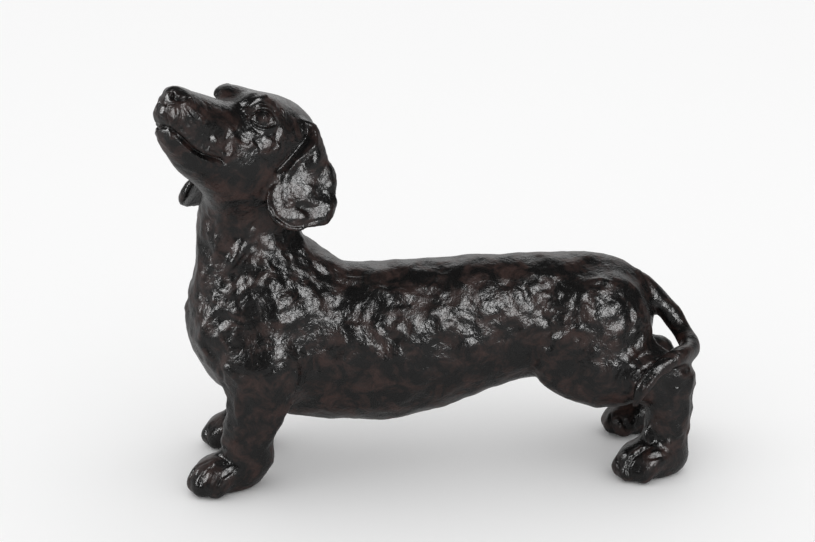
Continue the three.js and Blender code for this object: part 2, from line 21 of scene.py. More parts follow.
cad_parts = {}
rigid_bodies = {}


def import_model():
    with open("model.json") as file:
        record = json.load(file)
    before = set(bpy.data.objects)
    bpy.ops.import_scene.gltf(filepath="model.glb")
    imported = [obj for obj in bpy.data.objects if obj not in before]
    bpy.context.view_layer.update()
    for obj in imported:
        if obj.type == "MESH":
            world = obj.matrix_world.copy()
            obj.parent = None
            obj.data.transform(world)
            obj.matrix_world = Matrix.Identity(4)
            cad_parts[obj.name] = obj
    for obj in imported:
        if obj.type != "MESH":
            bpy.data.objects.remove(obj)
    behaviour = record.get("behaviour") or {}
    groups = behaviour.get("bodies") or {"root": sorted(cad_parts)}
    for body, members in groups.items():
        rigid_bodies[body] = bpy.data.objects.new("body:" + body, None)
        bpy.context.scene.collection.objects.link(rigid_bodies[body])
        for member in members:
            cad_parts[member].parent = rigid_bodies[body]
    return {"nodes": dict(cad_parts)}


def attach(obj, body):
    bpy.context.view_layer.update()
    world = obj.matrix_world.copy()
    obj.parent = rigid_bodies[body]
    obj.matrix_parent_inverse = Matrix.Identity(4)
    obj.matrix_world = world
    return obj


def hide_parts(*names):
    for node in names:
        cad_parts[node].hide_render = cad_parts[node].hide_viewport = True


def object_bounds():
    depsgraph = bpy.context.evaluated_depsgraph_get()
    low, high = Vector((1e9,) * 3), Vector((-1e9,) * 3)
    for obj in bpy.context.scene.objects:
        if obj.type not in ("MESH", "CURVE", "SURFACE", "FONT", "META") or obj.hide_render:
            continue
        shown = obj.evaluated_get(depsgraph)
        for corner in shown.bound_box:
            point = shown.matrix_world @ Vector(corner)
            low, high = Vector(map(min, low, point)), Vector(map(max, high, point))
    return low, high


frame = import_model()
CAD_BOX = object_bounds()
MM = 0.001
log = logging.getLogger("dachshund")

# Where the two softboxes stand, and two ways in which the studio is dark, in millimetres.
LEFT_LIGHT = (-1400.0, -420.0, 880.0)
RIGHT_LIGHT = (680.0, -1430.0, 840.0)
FRONT_GLOOM = (-300.0, -1500.0, 250.0)
SIDE_GLOOM = (2000.0, -700.0, -100.0)

Path = list[tuple[float, ...]]
Patches = dict[str, tuple[tuple[float, ...], ...]]

# Flat patches that the photograph shows, part by part. Each has the pixel of its middle, its half-length and
# half-width in pixels, and its turn in degrees. They are pressed in this order, one over the other.
UNLIT_PATCHES: Patches = {
    "neck and shoulder": (
        (222, 252, 9, 14, 30), (262, 262, 6, 9, 60), (252, 305, 9, 10, 0), (262, 328, 9, 12, 0),
    ),
    "ribs": (
        (380, 298, 9, 12, 0), (402, 298, 8, 9, 0), (350, 330, 9, 6, 0), (392, 352, 12, 7, 0),
    ),
    "loin and rump": (
        (515, 300, 9, 14, 0), (518, 328, 12, 9, 0), (585, 312, 7, 9, 0), (590, 352, 9, 7, 0),
        (460, 346, 14, 6, 0), (566, 298, 7, 6, 0), (594, 300, 6, 7, 0), (545, 278, 14, 5, 0),
    ),
    "back": (
        (600, 282, 14, 5, 0), (430, 290, 14, 6, 0), (350, 282, 16, 6, 0), (320, 268, 12, 6, -30),
    ),
    "chest and tail": (
        (288, 258, 8, 6, 0), (215, 300, 5, 8, 0), (244, 338, 12, 8, 0), (652, 310, 5, 12, -70),
    ),
}
LIT_PATCHES: Patches = {
    "neck": (
        (251, 231, 11, 4, 62), (243, 247, 10, 4.5, 60), (233, 260, 9, 4.5, 55), (225, 268, 6, 4, 40),
        (212, 226, 6, 3, 20), (254, 261, 9, 3.5, 25), (263, 279, 9, 4, 70),
    ),
    "chest": (
        (228, 289, 9, 6, -50), (242, 281, 5, 3, 0), (239, 293, 5, 4, 0), (233, 306, 10, 4, -65),
        (224, 326, 10, 7, 60), (199, 309, 5, 2.5, 60), (243, 376, 7, 5, 0), (225, 338, 3, 3, 0),
    ),
    "shoulder": (
        (273, 247, 5, 3, 60), (303, 272, 8, 3.5, -20), (278, 284, 6, 3, 40), (290, 281, 5, 4, 0),
        (286, 302, 10, 6, 60), (306, 292, 10, 8, 0), (288, 318, 12, 9, 0), (314, 304, 9, 8, 0),
        (313, 322, 8, 5, 0), (331, 314, 6, 5, 0), (329, 299, 8, 3, -15),
    ),
    "ribs": (
        (357, 308, 9, 4.5, 80), (368, 313, 6, 3, -60), (381, 332, 8, 4, 80), (347, 340, 5, 4, 0),
        (321, 352, 8, 3, 35), (348, 371, 6, 3, 20), (402, 328, 9, 6, 0), (421, 325, 12, 6, 80),
        (444, 323, 12, 6, 80), (440, 312, 12, 4, 15), (466, 303, 7, 4, 25), (466, 317, 7, 4, 0),
        (489, 311, 9, 7, 0), (478, 297, 9, 3, 45), (443, 295, 7, 3, 40), (422, 342, 6, 4, -40),
        (466, 334, 5, 3, 0),
    ),
    "loin": (
        (536, 290, 10, 5, -20), (545, 297, 7, 5, -45), (552, 311, 6, 5, 0), (542, 325, 8, 6, 0),
        (556, 335, 9, 6, -30), (545, 349, 9, 6, 0), (565, 333, 5, 4, 0),
    ),
    "rump": (
        (586, 330, 11, 4, -10), (578, 306, 6, 4, 60), (585, 297, 5, 4, 45), (610, 312, 8, 8, 0),
        (618, 326, 10, 7, -15), (634, 316, 7, 6, 80), (634, 331, 6, 4, 0), (609, 346, 4, 3.5, 0),
        (640, 342, 9, 5, 35), (631, 352, 5, 3, 0),
    ),
    "tail and hock": (
        (664, 306, 6, 3.5, -40), (664, 372, 9, 3, 0), (687, 370, 5, 4, 0), (675, 388, 6, 4, -30),
        (645, 362, 9, 3, 30), (668, 354, 10, 3.5, 15), (627, 376, 8, 2.5, 65),
    ),
}

# Patches that are pressed last, over the folds and strokes.
LATE_LIT_PATCHES: Patches = {
    "nose": (
        (167.3, 96, 4.6, 3.6, 90), (172, 114, 6.5, 3.8, 80), (161.8, 110, 5.5, 3.2, 80), (196, 115.5, 12, 3.4, -36),
    ),
    "cheek": (
        (230, 136, 9, 6, 75), (229, 149, 8, 6, 85), (213, 139, 6, 3.5, -40), (250, 139, 12, 8, 0),
        (264, 143, 10, 6, -15), (279, 134, 9, 4, 60), (276, 147, 5, 3, 0),
    ),
    "brow": (
        (256, 102, 10, 3, 30), (283, 113, 6, 3, -60),
    ),
    "neck": (
        (243, 246, 26, 4.2, 62), (208, 226, 9, 3.5, 25),
    ),
    "ear": (
        (277, 196, 13, 6, 85), (293, 214, 15, 6, -15), (322, 209, 14, 6, 15), (303, 190, 12, 6, 10),
    ),
    "fore paw": (
        (197, 472, 4.5, 2.5, 60), (205.5, 479, 5.5, 3.5, 55), (227, 471, 8, 4, 45),
    ),
    "hind paws": (
        (624, 456, 4, 4, 0), (637, 452, 6, 2, 40), (655, 455, 8, 4, 25), (631, 421, 6, 2, -50),
    ),
}
LATE_UNLIT_PATCHES: Patches = {
    "face": (
        (250, 110, 5, 2.5, 40), (178, 124, 5, 2.5, -60),
    ),
    "foreleg and shoulder": (
        (268, 341, 9, 6, 0), (280, 262, 9, 7, 0),
    ),
    "hind paw": (
        (650, 436, 6, 9, 0), (666, 444, 5, 6, 0),
    ),
}


class Side(Enum):
    """A side of the dog. Its value is the sign of the head's sideways axis there."""

    LEFT = 1
    RIGHT = -1


class Tool(Enum):
    """What a stroke leaves in the clay across its width."""

    CREASE = "crease"
    RIDGE = "ridge"


def smoothstep(value: np.ndarray, low: float, high: float) -> np.ndarray:
    """A smooth rise from 0 to 1.

    Args:
        value: what is compared with the two limits.
        low: where the rise starts.
        high: where it ends.

    Returns:
        The share risen for each value.
    """
    share = np.clip((value - low) / (high - low), 0.0, 1.0)
    return share * share * (3.0 - 2.0 * share)


def distance(points: np.ndarray, places: Path) -> np.ndarray:
    """How far each point is from the nearest of some places."""
    return np.min([np.linalg.norm(points - np.array(place), axis=1) for place in places], axis=0)


def curve_through(points: Path, spacing: float) -> np.ndarray:
    """A smooth curve through some points.

    Args:
        points: the places to pass through.
        spacing: about how far apart the curve's own points are.

    Returns:
        The curve's points, one to a row.
    """
    knots = np.array(points, float)
    if len(knots) == 1:
        return knots
    padded = np.vstack([2 * knots[0] - knots[1], knots, 2 * knots[-1] - knots[-2]])
    rows = []
    for i in range(len(knots) - 1):
        before, start, end, after = padded[i:i + 4]
        count = max(2, int(np.linalg.norm(end - start) / spacing) + 1)
        t = np.linspace(0.0, 1.0, count, endpoint=False)[:, None]
        rows.append(0.5 * (2 * start + (end - before) * t + (2 * before - 5 * start + 4 * end - after) * t**2
                           + (3 * start - before - 3 * end + after) * t**3))
    rows.append(knots[-1:])
    return np.vstack(rows)


@dataclass(frozen=True)
class StudioCamera:
    """The camera at the photograph's angle, with its frame of 815 by 542 pixels."""

    azimuth: float = -5.0
    elevation: float = 19.0
    distance: float = 1480.0
    focal: float = 70.0
    sensor: float = 36.0
    look_at: tuple[float, float, float] = (-27.4, -6.7, 200.0)
    wide: int = 815
    high: int = 542

    def axes(self) -> np.ndarray:
        """The camera's right, up and back ways, one to a row."""
        a, e = math.radians(self.azimuth), math.radians(self.elevation)
        back = np.array([math.sin(a) * math.cos(e), -math.cos(a) * math.cos(e), math.sin(e)])
        right = np.array([math.cos(a), math.sin(a), 0.0])
        return np.array([right, np.cross(back, right), back])

    def place(self) -> np.ndarray:
        """Where the camera stands."""
        return np.array(self.look_at) + self.distance * self.axes()[2]

    def ray(self, x: float, y: float) -> np.ndarray:
        """The way that a pixel of the frame looks."""
        right, up, back = self.axes()
        reach = self.focal / self.sensor * self.wide
        way = right * (x - self.wide / 2) + up * (self.high / 2 - y) - back * reach
        return way / np.linalg.norm(way)

    def build(self) -> None:
        """Adds the camera and makes it the scene's own."""
        bpy.ops.object.camera_add(location=Vector(self.place()) * MM)
        camera = bpy.context.object
        camera.name = "studio_camera"
        camera.rotation_euler = Vector(-self.axes()[2]).to_track_quat("-Z", "Y").to_euler()
        camera.data.lens = self.focal
        camera.data.sensor_width = self.sensor
        camera.data.clip_end = 50.0
        bpy.context.scene.camera = camera


@dataclass(frozen=True)
class HeadFrame:
    """The head's own frame: forwards to the nose, to its left, and up, from midway between the eyes."""

    origin: tuple[float, float, float] = (-174.45, -15.7, 358.0)
    yaw: float = 43.0
    pitch: float = 25.0
    roll: float = -3.0

    def turn(self) -> np.ndarray:
        """The head's axes as the columns of a matrix."""
        z, y, x = math.pi + math.radians(self.yaw), -math.radians(self.pitch), math.radians(self.roll)
        about_z = np.array([[math.cos(z), -math.sin(z), 0], [math.sin(z), math.cos(z), 0], [0, 0, 1]])
        about_y = np.array([[math.cos(y), 0, math.sin(y)], [0, 1, 0], [-math.sin(y), 0, math.cos(y)]])
        about_x = np.array([[1, 0, 0], [0, math.cos(x), -math.sin(x)], [0, math.sin(x), math.cos(x)]])
        return about_z @ about_y @ about_x

    def out(self, points: Path, side: Side = Side.LEFT) -> Path:
        """Places of the head's left side, or their mirror images, in the figure's frame."""
        flip = np.array([1.0, side.value, 1.0])
        return [tuple(self.turn() @ (np.array(p) * flip) + np.array(self.origin)) for p in points]

    def mirrored(self, points: Path) -> Path:
        """Places of the figure's frame on the head's other side."""
        own = (np.array(points) - np.array(self.origin)) @ self.turn()
        return self.out(own.tolist(), Side.RIGHT)


@dataclass(frozen=True)
class Mark:
    """One press of a thumb.

    Attributes:
        place: its middle on the skin.
        normal: the skin's normal there.
        along: the way of its length.
        length: its half-length.
        width: its half-width.
        slope: the slope that the patch gets against the skin.
        raised: how far the patch is raised.
        firm: how firm the press is, from 0 to 1.
    """

    place: np.ndarray
    normal: np.ndarray
    along: np.ndarray
    length: float
    width: float
    slope: np.ndarray
    raised: float
    firm: float


@dataclass(frozen=True)
class Strewing:
    """Marks strewn over the whole skin.

    Attributes:
        spacing: about how far apart the marks are.
        seed: what their places, sizes and slopes are drawn from.
        sizes: the shortest and longest half-length of a mark.
        lean: how steeply a mark usually slopes against the skin.
    """

    spacing: float
    seed: int
    sizes: tuple[float, float]
    lean: float


class Skin:
    """The figure's skin while it is worked: its points, faces and outward normals."""

    # A press takes this share of the skin's own form out, within these heights under its middle.
    FLATTENED = 0.85
    PRESSED_HEIGHTS = (-1.5, 3.0)
    # It fades out between these shares of its size, and where the skin turns away from its middle.
    PRESSED_EDGE = (0.68, 1.12)
    PRESSED_FACING = (0.3, 0.7)
    # A patch of the photograph lifts its edge by no more than this, and is pressed a little wider.
    PATCH_LIFT = 2.4
    PATCH_SPREAD = 1.1
    PATCH_RAISED = 0.2

    def __init__(self, piece: bpy.types.Object, camera: StudioCamera) -> None:
        """Reads a piece's mesh.

        Args:
            piece: the object whose skin is worked, in metres.
            camera: the camera through which the photograph's places are found.
        """
        self.piece = piece
        self.camera = camera
        mesh = piece.data
        flat = np.zeros(len(mesh.vertices) * 3)
        mesh.vertices.foreach_get("co", flat)
        self.points = flat.reshape(-1, 3) / MM
        mesh.calc_loop_triangles()
        corners = np.zeros(len(mesh.loop_triangles) * 3, np.int64)
        mesh.loop_triangles.foreach_get("vertices", corners)
        self.faces = corners.reshape(-1, 3)
        edges = np.zeros(len(mesh.edges) * 2, np.int64)
        mesh.edges.foreach_get("vertices", edges)
        self.edges = edges.reshape(-1, 2)
        self.normals = self.outward()
        self.start = self.points.copy()
        self.tree = BVHTree.FromPolygons(self.points.tolist(), self.faces.tolist())

    def outward(self) -> np.ndarray:
        """Each point's outward normal."""
        a, b, c = (self.points[self.faces[:, k]] for k in range(3))
        across = np.cross(b - a, c - a)
        normals = np.zeros_like(self.points)
        for k in range(3):
            for axis in range(3):
                normals[:, axis] += np.bincount(self.faces[:, k], across[:, axis], len(self.points))
        return normals / np.maximum(np.linalg.norm(normals, axis=1), 1e-9)[:, None]

    def on_photo(self, pixels: Path) -> Path:
        """The places on the skin that pixels of the photograph show."""
        eye = Vector(self.camera.place())
        found = []
        for x, y in pixels:
            place = self.tree.ray_cast(eye, Vector(self.camera.ray(x, y)))[0]
            if place is not None:
                found.append(tuple(place))
        return found

    def settled(self, points: Path) -> np.ndarray:
        """A smooth curve through some places, laid onto the skin.

        Args:
            points: places near the skin.

        Returns:
            The curve's points and the skin's normal at each, side by side.
        """
        rows = []
        for place in curve_through(points, 1.5):
            spot, normal, _, _ = self.tree.find_nearest(Vector(place))
            rows.append([*spot, *normal])
        laid = np.array(rows)
        for _ in range(3):
            laid[1:-1] = (laid[:-2] + 2 * laid[1:-1] + laid[2:]) / 4
        return laid

    def near(self, path: np.ndarray, reach: float) -> tuple[np.ndarray, ...]:
        """Where each point of the skin near a path lies beside it.

        Args:
            path: rows of a place and its normal, from settled().
            reach: how far from the path counts as near.

        Returns:
            The near points' numbers, their distance from the path, the share of the path's length
            passed there, and how far each faces as the path does.
        """
        low, high = path[:, :3].min(0) - reach, path[:, :3].max(0) + reach
        index = np.nonzero(np.all((self.start > low) & (self.start < high), axis=1))[0]
        spots = self.start[index]
        best = np.full(len(index), np.inf)
        share = np.zeros(len(index))
        facing = np.zeros(len(index))
        count = max(1, len(path) - 1)
        for i in range(count):
            start, end = path[i, :3], path[min(i + 1, len(path) - 1), :3]
            way = end - start
            length = max(float(way @ way), 1e-9)
            t = np.clip((spots - start) @ way / length, 0.0, 1.0)
            off = spots - start - t[:, None] * way
            gap = np.linalg.norm(off, axis=1)
            closer = gap < best
            best[closer] = gap[closer]
            share[closer] = (i + t[closer]) / count
            normal = path[i, 3:]
            facing[closer] = self.normals[index[closer]] @ normal
        kept = best < reach
        return index[kept], best[kept], share[kept], smoothstep(facing[kept], -0.1, 0.35)

    def stroke(self, points: Path, width: float, height: float, tool: Tool, taper: float) -> None:
        """Draws a tool over the skin.

        Args:
            points: places near the skin that the stroke passes.
            width: how far to each side it reaches.
            height: how far it raises the skin, or sinks it if negative.
            tool: the shape of its cross-section.
            taper: the share of its length at each end over which it fades in.
        """
        if not points:
            return
        path = self.settled(points)
        index, gap, share, facing = self.near(path, width * 2.2)
        across = gap / width
        if tool is Tool.CREASE:
            form = np.clip(1.0 - across, 0.0, 1.0) ** 1.3
        else:
            form = np.exp(-2.0 * across**2)
        fade = smoothstep(share, -0.02, taper) * smoothstep(1.0 - share, -0.02, taper)
        self.points[index] += self.normals[index] * (height * form * fade * facing)[:, None]

    def lump(self, place: tuple[float, ...], radii: tuple[float, float], height: float,
             along: np.ndarray) -> None:
        """Puts a pellet of clay on the skin, or presses a hollow into it.

        Args:
            place: where, near the skin.
            radii: its radius along and across its own length.
            height: how far it rises, or sinks if negative.
            along: the way of its length.
        """
        spot, normal, _, _ = self.tree.find_nearest(Vector(place))
        normal = np.array(normal)
        first = along - normal * (along @ normal)
        first /= max(np.linalg.norm(first), 1e-9)
        second = np.cross(normal, first)
        off = self.start - np.array(spot)
        index = np.nonzero(np.abs(off).max(axis=1) < max(radii) * 1.1)[0]
        off = off[index]
        out = np.hypot(off @ first / radii[0], off @ second / radii[1])
        depth = np.abs(off @ normal) < max(radii)
        dome = np.clip(1.0 - out**2, 0.0, 1.0) ** 1.5
        facing = smoothstep(self.normals[index] @ normal, -0.1, 0.3)
        self.points[index] += normal * (height * dome * facing * depth)[:, None]

    def strewn_marks(self, strewing: Strewing, firm: np.ndarray) -> list[Mark]:
        """Strews marks over the whole skin.

        Args:
            strewing: how the marks are strewn.
            firm: for each point of the skin, how firmly it is pressed.

        Returns:
            The marks, in the order in which they are pressed.
        """
        chance = np.random.default_rng(strewing.seed)
        cells: set[tuple[int, ...]] = set()
        marks = []
        for number in chance.permutation(len(self.start)):
            cell = tuple(int(v) for v in self.start[number] // strewing.spacing)
            if cell in cells:
                continue
            cells.add(cell)
            normal = self.normals[number]
            along = np.cross(normal, chance.normal(size=3))
            along /= max(np.linalg.norm(along), 1e-9)
            beside = np.cross(normal, along)
            length = chance.uniform(*strewing.sizes)
            slope = along * chance.normal(0.0, strewing.lean) + beside * chance.normal(0.0, strewing.lean)
            width = length * chance.uniform(0.55, 0.8)
            raised = chance.normal(-0.1, 0.3)
            marks.append(Mark(self.start[number], normal, along, length, width, slope, raised, float(firm[number])))
        return marks

    def photo_mark(self, spot: tuple[float, ...], lights: tuple[tuple[float, float, float], ...],
                   steepest: float = 0.45) -> Mark | None:
        """A mark where the photograph shows it, leaning so that it mirrors the place that needs the least slope.

        Args:
            spot: the place in pixels, the half-length and half-width in pixels, and its turn in degrees.
            lights: the places that it can mirror.
            steepest: the steepest slope that it can get against the skin.

        Returns:
            The mark, or None where the skin isn't under that pixel.
        """
        x, y, long, wide, turn = spot
        eye = self.camera.place()
        place, normal, _, gap = self.tree.ray_cast(Vector(eye), Vector(self.camera.ray(x, y)))
        if place is None:
            return None
        place, normal = np.array(place), np.array(normal)
        scale = gap / (self.camera.focal / self.camera.sensor * self.camera.wide)
        right, up, _ = self.camera.axes()
        along = right * math.cos(math.radians(turn)) + up * math.sin(math.radians(turn))
        along -= normal * (along @ normal)
        along /= np.linalg.norm(along)
        seen = (eye - place) / np.linalg.norm(eye - place)
        middle = normal
        nearest = -1.0
        for light in lights:
            lit = (np.array(light) - place) / np.linalg.norm(np.array(light) - place)
            half = (seen + lit) / np.linalg.norm(seen + lit)
            if half @ normal > nearest:
                middle, nearest = half, float(half @ normal)
        slope = -(middle - normal * nearest) / max(nearest, 0.3)
        steep = max(float(np.linalg.norm(slope)), 1e-9)
        beside = np.cross(normal, along)
        extent = math.hypot(long * (slope @ along), wide * (slope @ beside)) / steep * scale
        slope *= min(1.0, min(steepest, self.PATCH_LIFT / max(extent, 1.0)) / steep)
        length, width = long * scale * self.PATCH_SPREAD, wide * scale * self.PATCH_SPREAD
        return Mark(place, normal, along, length, width, slope, self.PATCH_RAISED, 1.0)

    def press(self, marks: list[Mark]) -> None:
        """Presses marks one over the other, each of which leaves a flat patch."""
        tree = KDTree(len(self.start))
        for number, place in enumerate(self.start):
            tree.insert(Vector(place), number)
        tree.balance()
        lift = np.zeros(len(self.start))
        for mark in marks:
            reach = max(mark.length, mark.width) * 1.15
            found = np.array([n for _, n, _ in tree.find_range(Vector(mark.place), reach)], np.int64)
            if not len(found):
                continue
            off = self.start[found] - mark.place
            beside = np.cross(mark.normal, mark.along)
            out = np.hypot(off @ mark.along / mark.length, off @ beside / mark.width)
            mask = 1.0 - smoothstep(out, *self.PRESSED_EDGE)
            mask *= smoothstep(self.normals[found] @ mark.normal, *self.PRESSED_FACING)
            below = np.clip(-(off @ mark.normal), *self.PRESSED_HEIGHTS)
            level = float(np.average(below, weights=mask + 1e-6))
            target = self.FLATTENED * (below - level) + off @ mark.slope + mark.raised
            lift[found] += (mark.firm * target - lift[found]) * mask
        self.points += self.normals * lift[:, None]

    def soften(self, passes: int, share: float | np.ndarray = 0.5) -> None:
        """Smooths the skin, as a damp brush does.

        Args:
            passes: how often the brush goes over it.
            share: how far each pass takes a point towards its neighbours' middle, also point by point.
        """
        degree = np.bincount(self.edges.ravel(), minlength=len(self.points)).astype(float)
        for _ in range(passes):
            total = np.zeros_like(self.points)
            for axis in range(3):
                for end, other in ((0, 1), (1, 0)):
                    beyond = self.points[self.edges[:, other], axis]
                    total[:, axis] += np.bincount(self.edges[:, end], beyond, len(degree))
            middle = total / np.maximum(degree, 1)[:, None]
            self.points += share * (middle - self.points)

    def settle(self) -> None:
        """Takes the worked skin as the new start for what is worked next."""
        self.normals = self.outward()
        self.start = self.points.copy()
        self.tree = BVHTree.FromPolygons(self.points.tolist(), self.faces.tolist())

    def hand_back(self) -> None:
        """Writes the points to the piece's mesh, inside the solid's own box and not below the ground."""
        low, high = (np.array(corner) / MM for corner in CAD_BOX)
        self.points = np.clip(self.points, low, high)
        self.piece.data.vertices.foreach_set("co", (self.points * MM).ravel())
        self.piece.data.update()


@dataclass(frozen=True)
class CastPatina:
    """The dark brown-black patina of the cast bronze, waxed to a gloss."""

    dark: tuple[float, float, float] = (0.0042, 0.0038, 0.0038)
    brown: tuple[float, float, float] = (0.036, 0.017, 0.0135)
    metallic: float = 0.0
    roughness: float = 0.26
    ior: float = 1.42
    coat: float = 0.25
    coat_roughness: float = 0.18

    @staticmethod
    def mottle() -> bpy.types.NodeTree:
        """The node group that gives the patina's blotches and the cast skin's pitting as masks."""
        group = bpy.data.node_groups.new("cast_mottle", "ShaderNodeTree")
        face = group.interface
        face.new_socket("Place", in_out="INPUT", socket_type="NodeSocketVector")
        face.new_socket("Blotch size", in_out="INPUT", socket_type="NodeSocketFloat")
        face.new_socket("Pit size", in_out="INPUT", socket_type="NodeSocketFloat")
        face.new_socket("Blotches", in_out="OUTPUT", socket_type="NodeSocketFloat")
        face.new_socket("Pits", in_out="OUTPUT", socket_type="NodeSocketFloat")
        nodes, links = group.nodes, group.links
        come = nodes.new("NodeGroupInput")
        give = nodes.new("NodeGroupOutput")
        blotch = nodes.new("ShaderNodeTexNoise")
        blotch.inputs["Detail"].default_value = 8.0
        blotch.inputs["Roughness"].default_value = 0.66
        blotch.inputs["Distortion"].default_value = 0.6
        pit = nodes.new("ShaderNodeTexNoise")
        pit.inputs["Detail"].default_value = 3.0
        pit.inputs["Roughness"].default_value = 0.5
        pit.inputs["Distortion"].default_value = 0.8
        for noise, size, mask in ((blotch, "Blotch size", "Blotches"), (pit, "Pit size", "Pits")):
            links.new(come.outputs["Place"], noise.inputs["Vector"])
            links.new(come.outputs[size], noise.inputs["Scale"])
            links.new(noise.outputs["Fac"], give.inputs[mask])
        return group

    def build(self) -> bpy.types.Material:
        """Makes the material."""
        material = bpy.data.materials.new("bronze_patina")
        material.use_nodes = True
        nodes, links = material.node_tree.nodes, material.node_tree.links
        shader = nodes["Principled BSDF"]
        shader.inputs["Metallic"].default_value = self.metallic
        shader.inputs["IOR"].default_value = self.ior
        shader.inputs["Coat Weight"].default_value = self.coat
        shader.inputs["Coat Roughness"].default_value = self.coat_roughness
        place = nodes.new("ShaderNodeTexCoord")
        mottle = nodes.new("ShaderNodeGroup")
        mottle.node_tree = self.mottle()
        mottle.inputs["Blotch size"].default_value = 52.0
        mottle.inputs["Pit size"].default_value = 240.0
        links.new(place.outputs["Object"], mottle.inputs["Place"])
        ramp = nodes.new("ShaderNodeValToRGB")
        ramp.color_ramp.elements[0].position = 0.47
        ramp.color_ramp.elements[0].color = (*self.dark, 1.0)
        ramp.color_ramp.elements[1].position = 0.64
        ramp.color_ramp.elements[1].color = (*self.brown, 1.0)
        links.new(mottle.outputs["Blotches"], ramp.inputs["Fac"])
        links.new(ramp.outputs["Color"], shader.inputs["Base Color"])
        rough = nodes.new("ShaderNodeMapRange")
        rough.inputs["From Min"].default_value = 0.3
        rough.inputs["From Max"].default_value = 0.7
        rough.inputs["To Min"].default_value = self.roughness - 0.06
        rough.inputs["To Max"].default_value = self.roughness + 0.16
        links.new(mottle.outputs["Blotches"], rough.inputs["Value"])
        links.new(rough.outputs["Result"], shader.inputs["Roughness"])
        bump = nodes.new("ShaderNodeBump")
        bump.inputs["Strength"].default_value = 0.4
        bump.inputs["Distance"].default_value = 0.0019
        links.new(mottle.outputs["Pits"], bump.inputs["Height"])
        links.new(bump.outputs["Normal"], shader.inputs["Normal"])
        links.new(bump.outputs["Normal"], shader.inputs["Coat Normal"])
        return material


